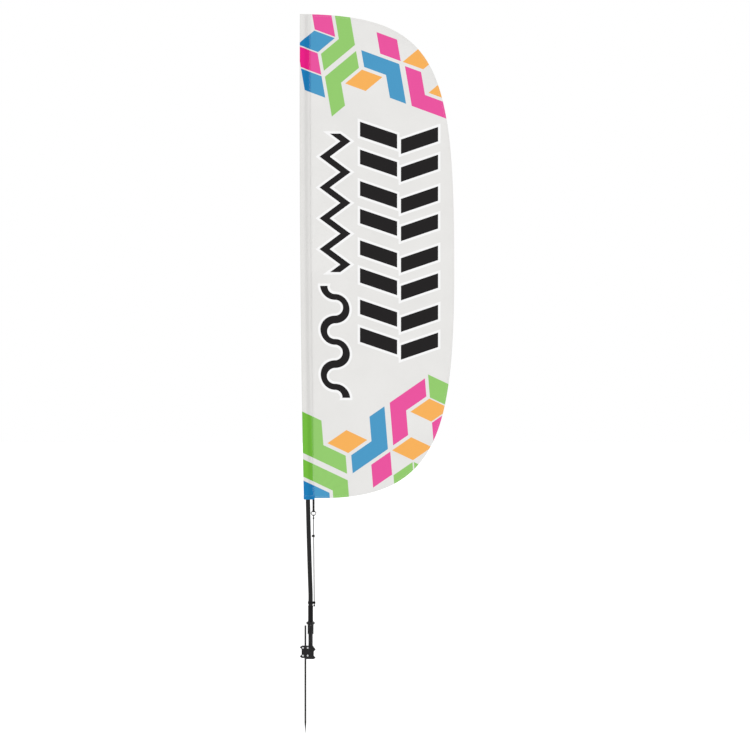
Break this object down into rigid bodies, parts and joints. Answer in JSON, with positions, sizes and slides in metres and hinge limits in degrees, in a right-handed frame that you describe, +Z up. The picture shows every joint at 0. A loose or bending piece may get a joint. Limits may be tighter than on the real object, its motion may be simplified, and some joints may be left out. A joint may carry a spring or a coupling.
{
  "type": "feather flag with pole",
  "caption": "Tall feather flag with a curved fly on a bowed pole that swivels on a ground spike clamp.",
  "frame": {"origin": "on the ground spike's axis at the ground line, which is the underside of the clamp jaws", "axes": "+Z up along the spike and the swivel axis; +X from the pole towards the flag's fly edge; the flag's front faces -Y"},
  "size_m": [0.6565, 0.039, 3.056],
  "materials": {
    "black_steel": "black powder coat, slightly worn",
    "black_casting": "black painted casting, fine grain",
    "black_tube": "black glass-fibre tube, satin",
    "black_plastic": "black moulded nylon",
    "black_webbing": "woven nylon webbing",
    "bright_zinc": "bright zinc plate",
    "bearing_steel": "ground bearing steel",
    "white_knit": "printed single-layer knitted polyester",
    "sleeve_knit": "printed knitted polyester, two layers thick",
    "black_cord": "braided elastic cord"
  },
  "bodies": {
    "spike": {"ground_spike": "black_steel"},
    "clamp": {"clamp_front_jaw": "black_casting", "clamp_back_jaw": "black_casting", "clamp_bolt_1": "bright_zinc", "clamp_bolt_2": "bright_zinc", "clamp_bolt_3": "bright_zinc", "clamp_bolt_4": "bright_zinc", "clamp_washer_1": "bright_zinc", "clamp_washer_2": "bright_zinc", "clamp_washer_3": "bright_zinc", "clamp_washer_4": "bright_zinc", "clamp_nut_1": "bright_zinc", "clamp_nut_2": "bright_zinc", "clamp_nut_3": "bright_zinc", "clamp_nut_4": "bright_zinc", "swivel_housing": "black_steel", "lower_bearing_outer_ring": "bearing_steel", "upper_bearing_outer_ring": "bearing_steel", "bearing_spacer": "bright_zinc"},
    "swivel": {"spindle": "black_steel", "swivel_flange": "black_steel", "lower_bearing_inner_ring": "bearing_steel", "upper_bearing_inner_ring": "bearing_steel", "spindle_clip": "bright_zinc", "thrust_washer": "bright_zinc"},
    "lower_cage": {"lower_bearing_cage": "bearing_steel"},
    "upper_cage": {"upper_bearing_cage": "bearing_steel"},
    "pole": {"pole_base_sleeve": "black_plastic", "lower_pole": "black_tube", "middle_pole": "black_tube", "upper_pole": "black_tube", "lower_ferrule": "bright_zinc", "upper_ferrule": "bright_zinc", "pole_tip_cap": "black_plastic", "sleeve_top_pocket": "black_webbing", "flag_panel": "white_knit", "pole_sleeve": "sleeve_knit", "tether_strap": "black_webbing", "tether_ring": "black_steel", "tether_loop": "black_cord", "tether_cord": "black_cord", "tether_knot": "black_cord", "tether_band": "black_plastic"},
    "cord_stop": {"cord_stop": "black_plastic"}
  },
  "joints": [
    {"name": "clamp_height", "type": "slide", "parent": "spike", "child": "clamp", "axis": [0, 0, 1], "range_m": [0, 0.085]},
    {"name": "pole_swivel", "type": "hinge", "parent": "clamp", "child": "swivel", "pos_m": [0.022, 0, 0.125], "axis": [0, 0, 1], "continuous": true},
    {"name": "lower_cage_spin", "type": "hinge", "parent": "clamp", "child": "lower_cage", "pos_m": [0.022, 0, 0.1164], "axis": [0, 0, 1], "continuous": true},
    {"name": "upper_cage_spin", "type": "hinge", "parent": "clamp", "child": "upper_cage", "pos_m": [0.022, 0, 0.1365], "axis": [0, 0, 1], "continuous": true},
    {"name": "pole_lift", "type": "slide", "parent": "swivel", "child": "pole", "axis": [0, 0, 1], "range_m": [0, 0.1]},
    {"name": "cord_stop_slide", "type": "slide", "parent": "pole", "child": "cord_stop", "axis": [-0.0089, 0, 1], "range_m": [-0.14, 0.06]}
  ],
  "couplings": [
    {"joint": "lower_cage_spin", "follows": "pole_swivel", "ratio": 0.373},
    {"joint": "upper_cage_spin", "follows": "pole_swivel", "ratio": 0.373}
  ]
}
